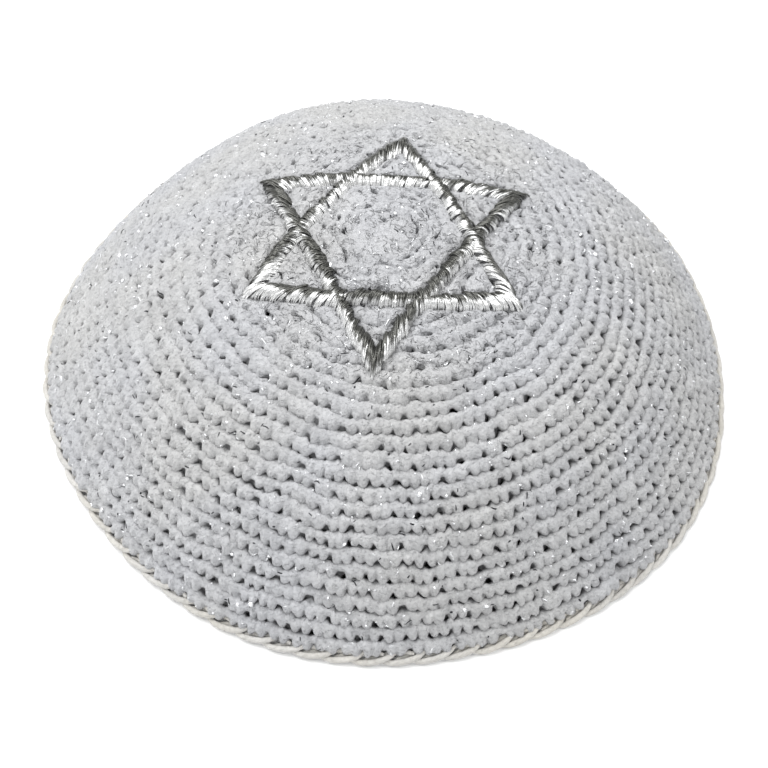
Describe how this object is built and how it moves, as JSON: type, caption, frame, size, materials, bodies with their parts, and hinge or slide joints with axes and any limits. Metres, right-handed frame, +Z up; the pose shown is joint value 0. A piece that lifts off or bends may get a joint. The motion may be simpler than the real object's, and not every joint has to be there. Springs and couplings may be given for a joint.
{
  "type": "kippah skullcap",
  "caption": "Shallow dome skullcap crocheted in rounds, hollow and open below, with a chain-edged rim and a six-pointed star in metallic satin stitch on the crown.",
  "frame": {"origin": "middle of the rim on the surface that the cap rests on", "axes": "+Z up through the crown, -Y towards the front, +X to the right seen from the front"},
  "size_m": [0.1702, 0.1702, 0.0486],
  "materials": {
    "crochet_cotton": "matt white cotton yarn with a fine silver filament, crocheted in rounds",
    "edging_cotton": "smooth warm-white cotton yarn, chain stitched",
    "silver_thread": "glossy metallic silver embroidery thread, satin stitched"
  },
  "bodies": {
    "root": {"cap_shell": "crochet_cotton", "rim_edging": "edging_cotton", "star_embroidery": "silver_thread"}
  },
  "joints": []
}
